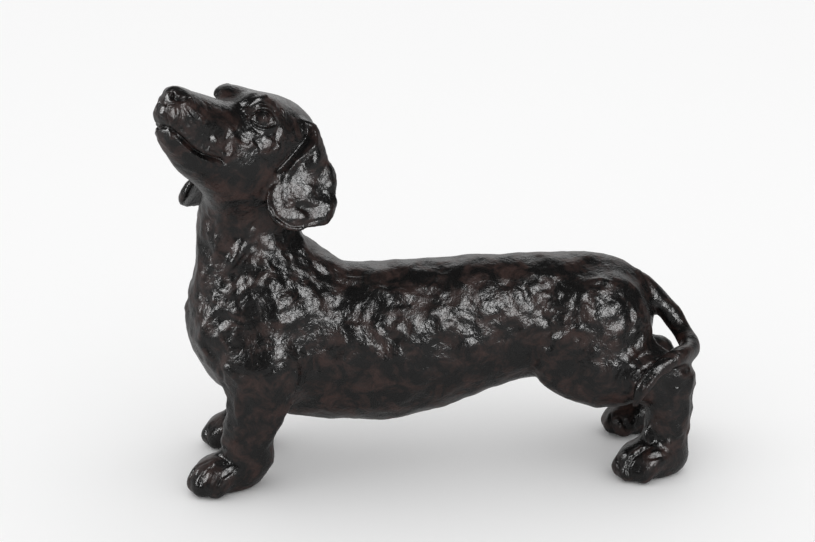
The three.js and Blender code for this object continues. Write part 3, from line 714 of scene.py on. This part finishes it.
@dataclass
class Figure:
    """The dog: one casting that stands for the solid."""

    camera: StudioCamera
    head: HeadFrame
    cell: float = 2.5
    softening: int = 5
    most_triangles: int = 190000
    broad_marks: Strewing = Strewing(15.0, 11, (9.0, 16.0), 0.05)
    small_marks: Strewing = Strewing(8.0, 23, (4.5, 8.0), 0.05)
    cheek_marks: Strewing = Strewing(5.0, 31, (2.5, 5.5), 0.1)
    tail: tuple[tuple[float, float, float], ...] = (
        (215.0, 4.0, 165.0), (222.0, 1.0, 153.0), (237.0, -11.0, 133.5), (237.5, -36.0, 123.0),
        (221.0, -56.0, 125.5), (202.0, -66.0, 117.5), (189.0, -71.0, 105.0), (182.0, -72.0, 92.0),
        (180.0, -71.0, 84.0),
    )
    paws: tuple[tuple[float, float, float], ...] = (
        (-205, -43, 12), (-195, 57, 12), (204, -46, 12), (216, 57, 12),
    )
    elbow_pixels: tuple[tuple[float, float], ...] = (
        (230, 360), (240, 358), (252, 360), (268, 364), (276, 352), (290, 352), (284, 366), (294, 376),
    )

    def copy_solid(self) -> bpy.types.Object:
        """Copies the solid's mesh into a piece of its own and joins its loose triangles."""
        solid = frame["nodes"]["dachshund"]
        bpy.ops.object.select_all(action="DESELECT")
        solid.select_set(True)
        bpy.context.view_layer.objects.active = solid
        bpy.ops.object.duplicate()
        piece = bpy.context.object
        piece.name = "dachshund_casting"
        piece.parent = None
        for key in list(piece.keys()):
            del piece[key]
        piece.data.materials.clear()
        bpy.ops.object.mode_set(mode="EDIT")
        bpy.ops.mesh.select_all(action="SELECT")
        bpy.ops.mesh.remove_doubles(threshold=0.00001)
        bpy.ops.object.mode_set(mode="OBJECT")
        return piece

    def even_out(self, piece: bpy.types.Object) -> None:
        """Gives the piece an even skin and takes the facets' edges off."""
        remesh = piece.modifiers.new("even_skin", "REMESH")
        remesh.mode = "VOXEL"
        remesh.voxel_size = self.cell * MM
        bpy.ops.object.modifier_apply(modifier=remesh.name)
        smooth = piece.modifiers.new("soft_edges", "SMOOTH")
        smooth.factor = 0.5
        smooth.iterations = self.softening
        bpy.ops.object.modifier_apply(modifier=smooth.name)

    def refine(self, piece: bpy.types.Object, spots: list[tuple[tuple[float, ...], float]]) -> None:
        """Splits the faces within some balls, where the modelling is finer.

        Args:
            piece: the piece to refine.
            spots: each ball's centre and radius in millimetres.
        """
        bpy.ops.object.mode_set(mode="EDIT")
        bpy.ops.mesh.select_all(action="DESELECT")
        bpy.ops.object.mode_set(mode="OBJECT")
        mesh = piece.data
        flat = np.zeros(len(mesh.polygons) * 3)
        mesh.polygons.foreach_get("center", flat)
        centres = flat.reshape(-1, 3) / MM
        chosen = np.zeros(len(centres), bool)
        for centre, radius in spots:
            chosen |= np.linalg.norm(centres - np.array(centre), axis=1) < radius
        mesh.polygons.foreach_set("select", chosen)
        mesh.update()
        bpy.ops.object.mode_set(mode="EDIT")
        bpy.ops.mesh.select_mode(type="FACE")
        bpy.ops.mesh.subdivide(number_cuts=1)
        bpy.ops.object.mode_set(mode="OBJECT")

    def drop_strays(self, piece: bpy.types.Object) -> None:
        """Deletes what isn't joined to the top of the head, such as a bubble that even_out() left."""
        bpy.ops.object.mode_set(mode="EDIT")
        bpy.ops.mesh.select_mode(type="VERT")
        bpy.ops.mesh.select_all(action="DESELECT")
        bpy.ops.object.mode_set(mode="OBJECT")
        max(piece.data.vertices, key=lambda vertex: vertex.co.z).select = True
        bpy.ops.object.mode_set(mode="EDIT")
        bpy.ops.mesh.select_linked()
        bpy.ops.mesh.select_all(action="INVERT")
        bpy.ops.mesh.delete(type="VERT")
        bpy.ops.object.mode_set(mode="OBJECT")

    def fine_spots(self) -> list[tuple[tuple[float, ...], float]]:
        """The head, the ears and the paws."""
        head = [(self.head.out([(30, 0, -20)])[0], 88.0), (self.head.out([(-35, 0, -5)])[0], 52.0)]
        ears = [((-117, -30, 285), 42.0), ((-195, 52, 285), 40.0)]
        paws = [(paw, 46.0) for paw in self.paws]
        return head + ears + paws

    def finest_spots(self) -> list[tuple[tuple[float, ...], float]]:
        """The eyes, the nose and the mouth."""
        spots = [(self.head.out([(80, 0, -18)])[0], 26.0)]
        for side in Side:
            spots += [(p, 17.0) for p in self.head.out([(2, 28, 1)], side)]
            spots += [(p, 11.0) for p in self.head.out([(60, 18, -47), (45, 20, -49), (30, 24, -51)], side)]
        return spots

    def thumb(self, skin: Skin) -> None:
        """Covers the body with thumb marks, fainter on the head and the paws."""
        inside = skin.start - np.array(self.head.origin)
        off_head = smoothstep(np.linalg.norm(inside, axis=1), 70.0, 120.0)
        off_ground = smoothstep(skin.start[:, 2], 20.0, 60.0)
        off_back = 1.0 - 0.6 * smoothstep(skin.normals[:, 2], 0.45, 0.85)
        off_belly = 1.0 - 0.7 * smoothstep(-skin.normals[:, 2], 0.2, 0.6)
        off_tail = 0.1 + 0.9 * smoothstep(distance(skin.start, curve_through(self.tail, 6.0)), 11.0, 24.0)
        elbow = skin.on_photo(self.elbow_pixels)
        off_elbow = 0.15 + 0.85 * smoothstep(distance(skin.start, elbow), 10.0, 20.0)
        firm = (0.15 + 0.85 * off_ground * off_back * off_belly) * (0.25 + 0.75 * off_head) * off_tail * off_elbow
        marks: list[Mark | None] = list(skin.strewn_marks(self.broad_marks, firm))
        marks += [skin.photo_mark(spot, (FRONT_GLOOM,)) for spot in chain(*UNLIT_PATCHES.values())]
        marks += [skin.photo_mark(spot, (LEFT_LIGHT, RIGHT_LIGHT)) for spot in chain(*LIT_PATCHES.values())]
        skin.press([mark for mark in marks if mark])
        skin.settle()
        skin.press(skin.strewn_marks(self.small_marks, 0.6 * firm))

    def both(self, skin: Skin, pixels: Path) -> list[Path]:
        """Places of the head that the photograph shows, and their mirror images on its other side."""
        seen = skin.on_photo(pixels)
        return [seen, self.head.mirrored(seen)] if seen else []

    def draw(self, skin: Skin, lines: list[tuple[Path, float, float, Tool]], taper: float = 0.15,
             both: bool = True) -> None:
        """Draws strokes where the photograph shows them.

        Args:
            skin: the skin to work.
            lines: each stroke's pixels, width, height and tool.
            taper: the share of its length at each end over which a stroke fades in.
            both: whether the head's other side gets their mirror images.
        """
        for pixels, width, height, tool in lines:
            for path in self.both(skin, pixels)[:2 if both else 1]:
                skin.stroke(path, width, height, tool, taper)

    def dab(self, skin: Skin, spots: list[tuple[float, ...]], both: bool = True) -> None:
        """Puts pellets and hollows where the photograph shows them.

        Args:
            skin: the skin to work.
            spots: each one's pixel, its radii upright and across, and its height.
            both: whether the head's other side gets their mirror images.
        """
        for x, y, tall, wide, height in spots:
            for path in self.both(skin, [(x, y)])[:2 if both else 1]:
                skin.lump(path[0], (tall, wide), height, np.array([0.0, 0.0, 1.0]))

    def eyes(self, skin: Skin) -> None:
        """Opens an almond between two lids and rounds the ball inside it, on each side."""
        self.draw(skin, [
            ([(246, 108), (252, 103.5), (259, 99.5), (268, 96)], 4.2, 2.2, Tool.RIDGE),
            ([(244, 111), (251.5, 106.3), (260, 103.6), (270, 106.5), (277.5, 114)], 2.4, -1.8, Tool.CREASE),
            ([(249.5, 118.5), (253, 112), (259, 108.3), (266, 108.3), (272, 112), (276.5, 120), (278, 125)],
             2.0, 1.5, Tool.RIDGE),
            ([(250, 120), (254.5, 126), (262, 129.5), (270, 129), (277, 125.5)], 1.8, 1.1, Tool.RIDGE),
            ([(250.5, 118), (255, 113), (261, 110.6), (267, 111.2), (272.5, 116), (275.8, 122.8)],
             1.4, -1.9, Tool.CREASE),
            ([(250.5, 118.5), (256, 123.6), (263, 126.3), (270, 126), (275.5, 123.5)], 1.4, -1.6, Tool.CREASE),
            ([(252, 132), (262, 135.5), (273, 134), (281, 127)], 2.2, -0.9, Tool.CREASE),
        ])
        self.dab(skin, [(262.5, 118, 9.0, 14.0, -2.6), (264, 118.5, 6.0, 6.8, 2.8), (246.5, 114, 4.0, 3.4, -1.6),
                        (265, 118, 1.7, 1.7, -0.7)])

    def muzzle(self, skin: Skin) -> None:
        """Draws the lips and the line of the mouth, and then the nose pad and its nostrils."""
        self.draw(skin, [
            ([(165, 127), (170, 128.5), (179, 135.5), (189.5, 146), (199, 153.8), (210, 157.5), (221, 160.5),
              (227.5, 165.5)], 2.9, -4.0, Tool.CREASE),
            ([(167, 133.5), (175, 139), (184.5, 147.5), (194, 154.5), (204, 160), (214, 164.5), (223, 167.5)],
             2.4, 1.1, Tool.RIDGE),
            ([(169, 124), (178.5, 131), (189, 141), (200, 149), (211, 153), (223, 156.5)], 3.4, 1.0, Tool.RIDGE),
            ([(182, 107), (184.5, 114), (187, 121), (190, 127)], 2.2, -1.0, Tool.CREASE),
            ([(187, 109), (193, 113), (200, 118), (206, 122)], 3.4, 0.9, Tool.RIDGE),
        ])
        self.draw(skin, [
            ([(156, 128.5), (161, 127), (167, 127)], 2.6, -3.0, Tool.CREASE),
            ([(173, 92.5), (172, 96), (173.5, 99.5)], 2.1, -2.6, Tool.CREASE),
            ([(173.5, 99), (178, 100.3), (184, 99.8), (191, 97)], 1.9, -2.4, Tool.CREASE),
            ([(169.5, 91.2), (174, 91.2), (177, 94.5), (177, 98)], 1.4, 0.9, Tool.RIDGE),
            ([(177, 105.4), (182, 104), (188, 102)], 1.6, 0.9, Tool.RIDGE),
            ([(159, 103), (165, 103.8), (171, 103.6), (177, 103)], 1.7, -1.3, Tool.CREASE),
            ([(166.5, 104.5), (167.2, 109), (165.9, 114), (167, 119), (169, 124)], 1.6, -1.8, Tool.CREASE),
            ([(177.5, 106), (179.2, 112), (178.2, 119), (175, 124)], 1.7, -1.3, Tool.CREASE),
        ], both=False)
        for path in self.both(skin, [(187, 114)]):
            skin.soften(5, 0.5 * (1.0 - smoothstep(distance(skin.points, path), 8.0, 15.0))[:, None])
        self.dab(skin, [(167.5, 96, 4.6, 3.8, 1.3), (172, 114.5, 7.0, 4.2, 1.5), (161.8, 110.5, 6.0, 3.4, 1.1)],
                 both=False)
        skin.stroke(self.head.out([(90, 8, -8), (88, 11, -11), (83, 14, -9)], Side.RIGHT), 2.2, -2.4,
                    Tool.CREASE, 0.15)

    def cheeks(self, skin: Skin) -> None:
        """Breaks the cheeks' broad planes up with small marks."""
        skin.settle()
        middles = [place for spot in ((232, 142), (250, 141), (264, 145))
                   for path in self.both(skin, [spot]) for place in path]
        firm = 0.75 * (1.0 - smoothstep(distance(skin.start, middles), 9.0, 15.0))
        skin.press(skin.strewn_marks(self.cheek_marks, firm))

    def near_ear(self, skin: Skin) -> None:
        """Rolls the near ear's front edge over and presses the hollows in its flap."""
        lines = [
            ([(305, 122), (309, 130), (307, 138), (300, 147), (292, 157), (283, 167), (274, 175)],
             4.4, -3.8, Tool.CREASE),
            ([(311, 127), (316, 135), (312.5, 145), (302, 156.5), (293, 165), (284, 173)], 4.0, 2.0, Tool.RIDGE),
            ([(271, 185), (268.5, 200), (271, 213), (280, 223.5), (293, 229), (308, 229.5), (322, 224), (334, 213)],
             2.4, 1.7, Tool.RIDGE),
            ([(274.5, 190), (272.5, 203), (275, 214), (284, 222), (298, 226.5), (312, 225.5), (326, 218)],
             2.2, -1.4, Tool.CREASE),
        ]
        for pixels, width, height, tool in lines:
            skin.stroke(skin.on_photo(pixels), width, height, tool, 0.12)
        crests = [([(311, 134), (314, 148), (314, 162), (309, 176)], 11.0, 4.5),
                  ([(327, 160), (331, 178), (332, 196)], 8.0, 2.0), ([(297, 163), (288, 174), (280, 186)], 5.0, 1.6)]
        for pixels, width, height in crests:
            skin.stroke(skin.on_photo(pixels), width, height, Tool.RIDGE, 0.35)
        right = np.array([1.0, 0.0, -0.2])
        for x, y, long, wide, height in ((304, 208, 14, 7, -2.4), (284, 204, 7, 6, -0.9), (320, 192, 9, 8, -1.2)):
            for place in skin.on_photo([(x, y)]):
                skin.lump(place, (long, wide), height, right)

    def toes(self, skin: Skin) -> None:
        """Smooths the paws and draws the grooves between their toes."""
        gaps = distance(skin.points, self.paws)
        share = 0.5 * (1.0 - smoothstep(gaps, 26.0, 40.0)) * smoothstep(skin.points[:, 2], 1.0, 7.0)
        skin.soften(16, share[:, None])
        skin.settle()
        grooves = [
            ([(215, 464), (207, 470), (202, 478), (199, 487)], 2.6, -2.8),
            ([(190, 481), (193, 471), (201, 464), (212, 460)], 1.8, -1.4),
            ([(229, 472), (221, 479), (216, 488)], 2.2, -1.2),
            ([(625, 441), (619, 447), (616.5, 455), (618, 463), (621, 472)], 2.0, -1.9),
            ([(653, 446), (643, 450), (634, 457), (629, 465), (628, 472), (631, 480)], 2.8, -3.4),
            ([(644, 445), (634, 452), (629, 459)], 2.8, 1.2),
            ([(626, 415), (631, 424), (637, 431)], 1.8, 1.4),
            ([(619, 416), (624, 425), (629, 432)], 2.2, -2.2),
            ([(611, 412), (610, 422), (614, 432)], 2.2, -2.2),
            ([(207, 428), (206, 437), (210, 445)], 2.0, -2.0),
        ]
        for pixels, width, height in grooves:
            skin.stroke(skin.on_photo(pixels), width, height, Tool.CREASE if height < 0 else Tool.RIDGE, 0.2)

    def body_folds(self, skin: Skin) -> None:
        """Draws the folds and creases of the neck, the elbow, the wrist and the hock."""
        folds = [
            ([(258, 219), (251, 228), (246, 240), (239, 251), (234, 262), (229, 274)], 6.5, 3.6, Tool.RIDGE),
            ([(266, 222), (259, 232), (254, 244), (248, 256), (241, 268)], 5.0, -2.0, Tool.CREASE),
            ([(208, 206), (211, 220), (214, 230)], 4.0, 1.4, Tool.RIDGE),
            ([(212, 229), (219, 222), (229, 216)], 3.5, 1.4, Tool.RIDGE),
            ([(295, 367), (281, 362), (270, 371), (261, 379)], 3.6, -1.2, Tool.CREASE),
            ([(297, 360), (298, 370), (295, 384), (291, 400)], 4.0, 1.4, Tool.RIDGE),
            ([(203, 335), (207, 347), (215, 358), (221, 372), (224, 388)], 4.0, -2.2, Tool.CREASE),
            ([(213, 455), (221, 457), (232, 463)], 3.0, -1.4, Tool.CREASE),
            ([(627, 442), (637, 439), (647, 441), (655, 447)], 3.0, -1.6, Tool.CREASE),
            ([(418, 336), (427, 343), (439, 353)], 3.0, 1.0, Tool.RIDGE),
            ([(530, 343), (532, 356), (534, 372)], 5.0, -1.8, Tool.CREASE),
            ([(656, 349), (641, 356), (628, 366), (619, 378), (616, 391), (620, 404)], 3.0, -2.6, Tool.CREASE),
            ([(668, 363), (652, 374), (643, 386), (637, 402)], 3.0, -2.6, Tool.CREASE),
            ([(668, 354), (650, 363), (637, 372), (629, 384), (627, 396)], 5.5, 2.4, Tool.RIDGE),
        ]
        for place in skin.on_photo([(279, 361)]):
            skin.lump(place, (24.0, 18.0), 4.0, np.array([0.5, 0.0, 1.0]))
        for line, width, height, tool in folds:
            skin.stroke(skin.on_photo(line), width, height, tool, 0.3)

    def build(self, finish: bpy.types.Material) -> bpy.types.Object:
        """Builds the casting and puts it in the solid's place.

        Args:
            finish: the patina.

        Returns:
            The finished piece.
        """
        piece = self.copy_solid()
        self.even_out(piece)
        self.refine(piece, self.fine_spots())
        self.refine(piece, self.finest_spots())
        skin = Skin(piece, self.camera)
        self.thumb(skin)
        skin.settle()
        self.toes(skin)
        self.body_folds(skin)
        self.near_ear(skin)
        self.eyes(skin)
        self.muzzle(skin)
        skin.settle()
        planes = [skin.photo_mark(spot, (LEFT_LIGHT, RIGHT_LIGHT), 0.7)
                  for spot in chain(*LATE_LIT_PATCHES.values())]
        planes += [skin.photo_mark(spot, (FRONT_GLOOM, SIDE_GLOOM))
                   for spot in chain(*LATE_UNLIT_PATCHES.values())]
        skin.press([plane for plane in planes if plane])
        self.cheeks(skin)
        skin.soften(1)
        skin.hand_back()
        thin = piece.modifiers.new("thin_out", "DECIMATE")
        thin.ratio = min(1.0, self.most_triangles / len(skin.faces))
        bpy.ops.object.modifier_apply(modifier=thin.name)
        self.drop_strays(piece)
        bpy.ops.object.shade_smooth()
        piece.data.materials.append(finish)
        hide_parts("dachshund")
        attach(piece, "root")
        log.info("%s: %d faces", piece.name, len(piece.data.polygons))
        return piece


@dataclass(frozen=True)
class Softbox:
    """One soft studio light that the bronze mirrors. Places and sizes are in metres."""

    name: str
    place: tuple[float, float, float]
    size: tuple[float, float]
    power: float

    def build(self, target: tuple[float, float, float]) -> None:
        """Adds the light, turned towards a place."""
        bpy.ops.object.light_add(type="AREA", location=self.place)
        lamp = bpy.context.object
        lamp.name = self.name
        lamp.rotation_euler = (Vector(target) - Vector(self.place)).to_track_quat("-Z", "Y").to_euler()
        lamp.data.shape = "RECTANGLE"
        lamp.data.size, lamp.data.size_y = self.size
        lamp.data.energy = self.power
        lamp.visible_diffuse = False


@dataclass
class Studio:
    """A pale floor, a white room and soft lights."""

    floor_size: float = 14.0
    floor_colour: tuple[float, float, float] = (0.93, 0.93, 0.93)
    floor_mirrored: tuple[float, float, float] = (0.42, 0.42, 0.42)
    room: float = 0.05
    back_wall: float = 0.6
    backdrop: float = 1.05
    lights: list[Softbox] = field(default_factory=lambda: [
        Softbox("left_softbox", tuple(v * MM for v in LEFT_LIGHT), (0.6, 0.7), 21.0),
        Softbox("back_softbox", (0.4, 1.5, 1.1), (1.2, 0.8), 2.5),
        Softbox("right_softbox", tuple(v * MM for v in RIGHT_LIGHT), (0.6, 0.7), 21.0),
    ])

    def build_floor(self) -> None:
        """Lays the floor that the dog stands on."""
        bpy.ops.mesh.primitive_plane_add(size=self.floor_size, location=(0, 0, 0))
        floor = bpy.context.object
        floor.name = "studio_floor"
        material = bpy.data.materials.new("pale_floor")
        material.use_nodes = True
        nodes, links = material.node_tree.nodes, material.node_tree.links
        shader = nodes["Principled BSDF"]
        path = nodes.new("ShaderNodeLightPath")
        mix = nodes.new("ShaderNodeMix")
        mix.data_type = "RGBA"
        mix.inputs["A"].default_value = (*self.floor_colour, 1.0)
        mix.inputs["B"].default_value = (*self.floor_mirrored, 1.0)
        links.new(path.outputs["Is Glossy Ray"], mix.inputs["Factor"])
        links.new(mix.outputs["Result"], shader.inputs["Base Color"])
        shader.inputs["Roughness"].default_value = 0.9
        floor.data.materials.append(material)

    def build_room(self) -> None:
        """Lights the room evenly. It is white, and dimmer where the bronze mirrors it."""
        world = bpy.data.worlds.new("studio_room")
        bpy.context.scene.world = world
        world.use_nodes = True
        nodes, links = world.node_tree.nodes, world.node_tree.links
        mirrored = nodes["Background"]
        mirrored.inputs["Color"].default_value = (1.0, 1.0, 1.0, 1.0)
        way = nodes.new("ShaderNodeTexCoord")
        split = nodes.new("ShaderNodeSeparateXYZ")
        wall = nodes.new("ShaderNodeMapRange")
        wall.inputs["From Min"].default_value = 0.45
        wall.inputs["From Max"].default_value = 0.85
        wall.inputs["To Min"].default_value = self.room
        wall.inputs["To Max"].default_value = self.back_wall
        links.new(way.outputs["Generated"], split.inputs[0])
        links.new(split.outputs["Y"], wall.inputs["Value"])
        links.new(wall.outputs["Result"], mirrored.inputs["Strength"])
        plain = nodes.new("ShaderNodeBackground")
        plain.inputs["Color"].default_value = (1.0, 1.0, 1.0, 1.0)
        plain.inputs["Strength"].default_value = self.backdrop
        path = nodes.new("ShaderNodeLightPath")
        mix = nodes.new("ShaderNodeMixShader")
        links.new(path.outputs["Is Glossy Ray"], mix.inputs[0])
        links.new(plain.outputs[0], mix.inputs[1])
        links.new(mirrored.outputs[0], mix.inputs[2])
        links.new(mix.outputs[0], nodes["World Output"].inputs["Surface"])

    def build(self) -> None:
        """Builds the floor, the room and the lights."""
        self.build_floor()
        self.build_room()
        for light in self.lights:
            light.build((0.0, 0.0, 0.18))
        bpy.context.scene.view_settings.view_transform = "Standard"


def main() -> None:
    """Builds the studio and the casting."""
    logging.basicConfig(level=logging.INFO, format="%(message)s")
    camera = StudioCamera()
    camera.build()
    Studio().build()
    piece = Figure(camera, HeadFrame()).build(CastPatina().build())
    log.info("built %s", piece.name)
    bpy.context.view_layer.update()


if __name__ == "__main__":
    main()
